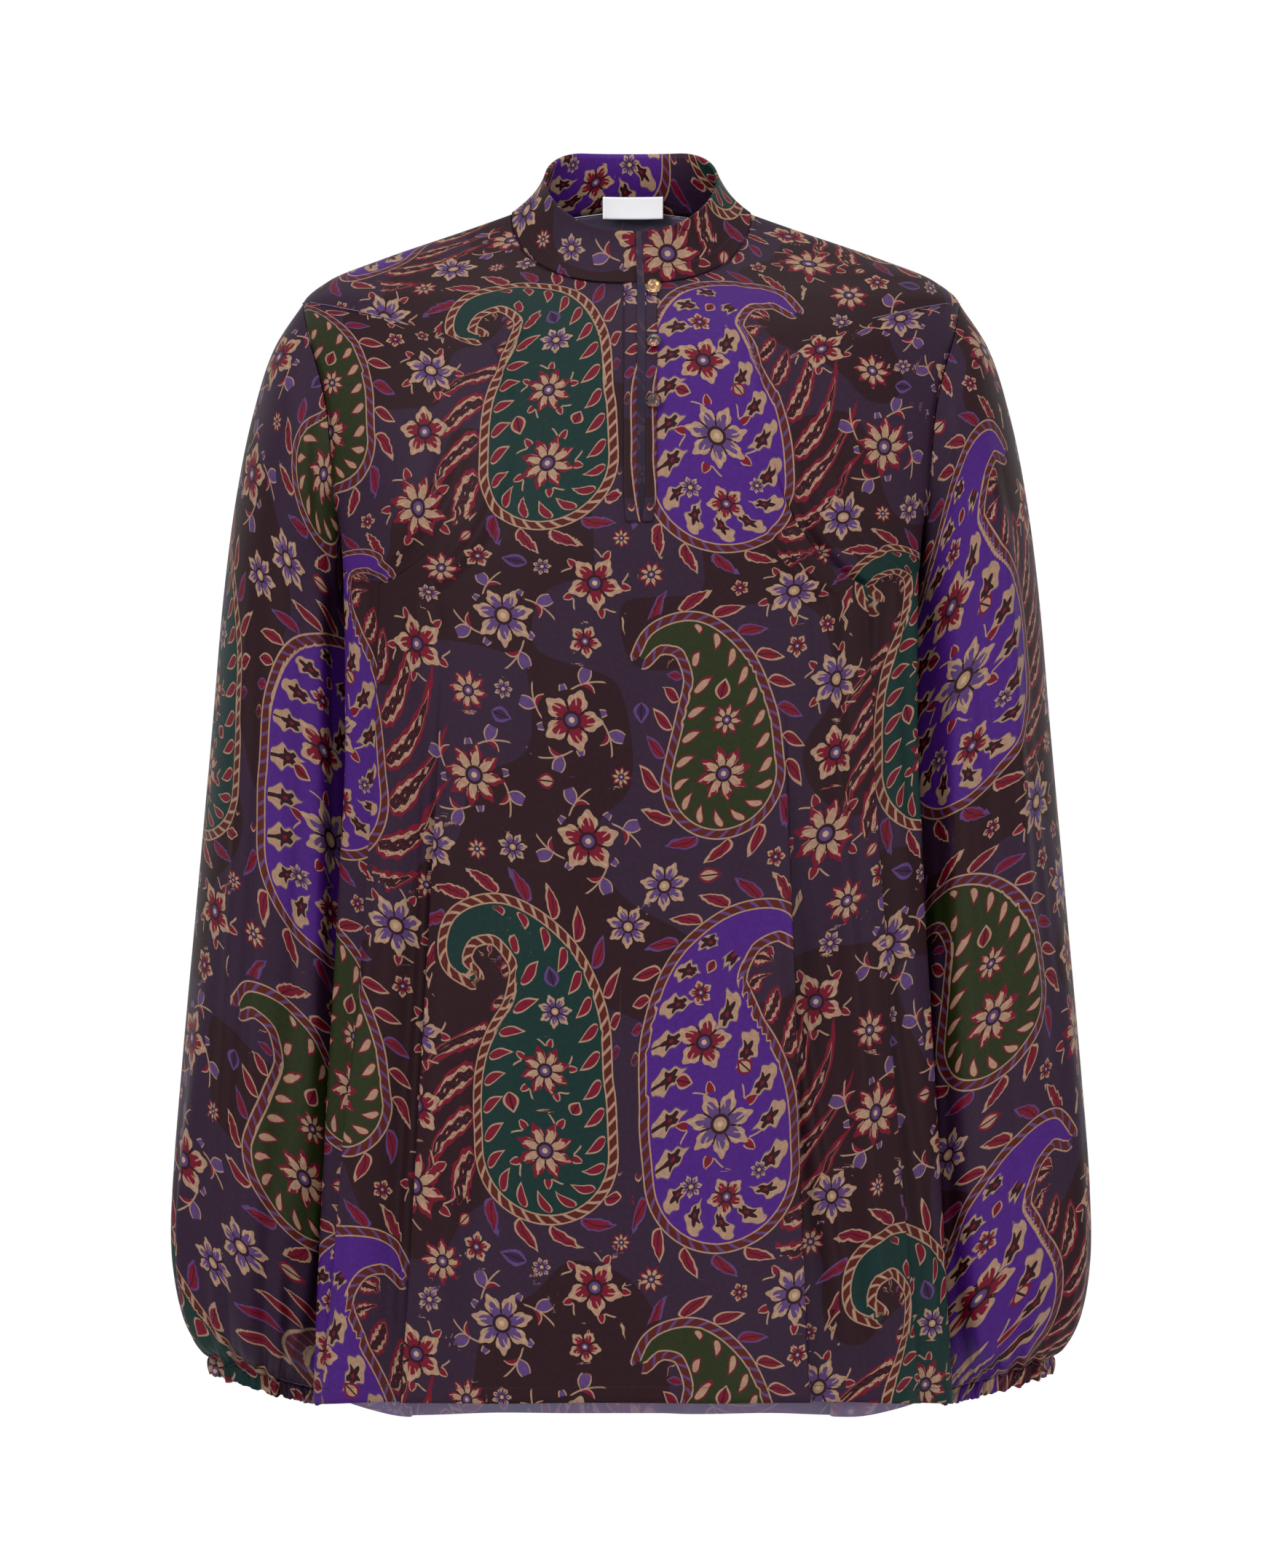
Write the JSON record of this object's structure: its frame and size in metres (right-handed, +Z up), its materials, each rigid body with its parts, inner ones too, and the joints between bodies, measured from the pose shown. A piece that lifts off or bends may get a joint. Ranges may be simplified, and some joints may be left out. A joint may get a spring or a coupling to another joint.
{
  "type": "printed blouse",
  "caption": "Loose long-sleeved printed blouse with a stand collar, an open neck slit with small buttons, full gathered sleeves and a straight hem.",
  "frame": {"origin": "between the shoulders, level with the side neck points, where the wearer's shoulders carry the blouse", "axes": "+Z up from hem to collar, +X to the right of someone who faces the front, -Y out of the front"},
  "size_m": [0.5692, 0.2646, 0.792],
  "materials": {
    "printed_silk": "soft silk sheen",
    "elastic_cuff": "gathered silk over elastic",
    "glass_button": "faceted, gold foil back",
    "woven_label": "white satin weave"
  },
  "bodies": {
    "root": {"front": "printed_silk", "back": "printed_silk", "collar": "printed_silk", "slit_binding_left": "printed_silk", "slit_binding_right": "printed_silk", "sleeve_left": "printed_silk", "sleeve_right": "printed_silk", "cuff_left": "elastic_cuff", "cuff_right": "elastic_cuff", "button_1": "glass_button", "button_2": "glass_button", "button_3": "glass_button", "neck_label": "woven_label"}
  },
  "joints": []
}
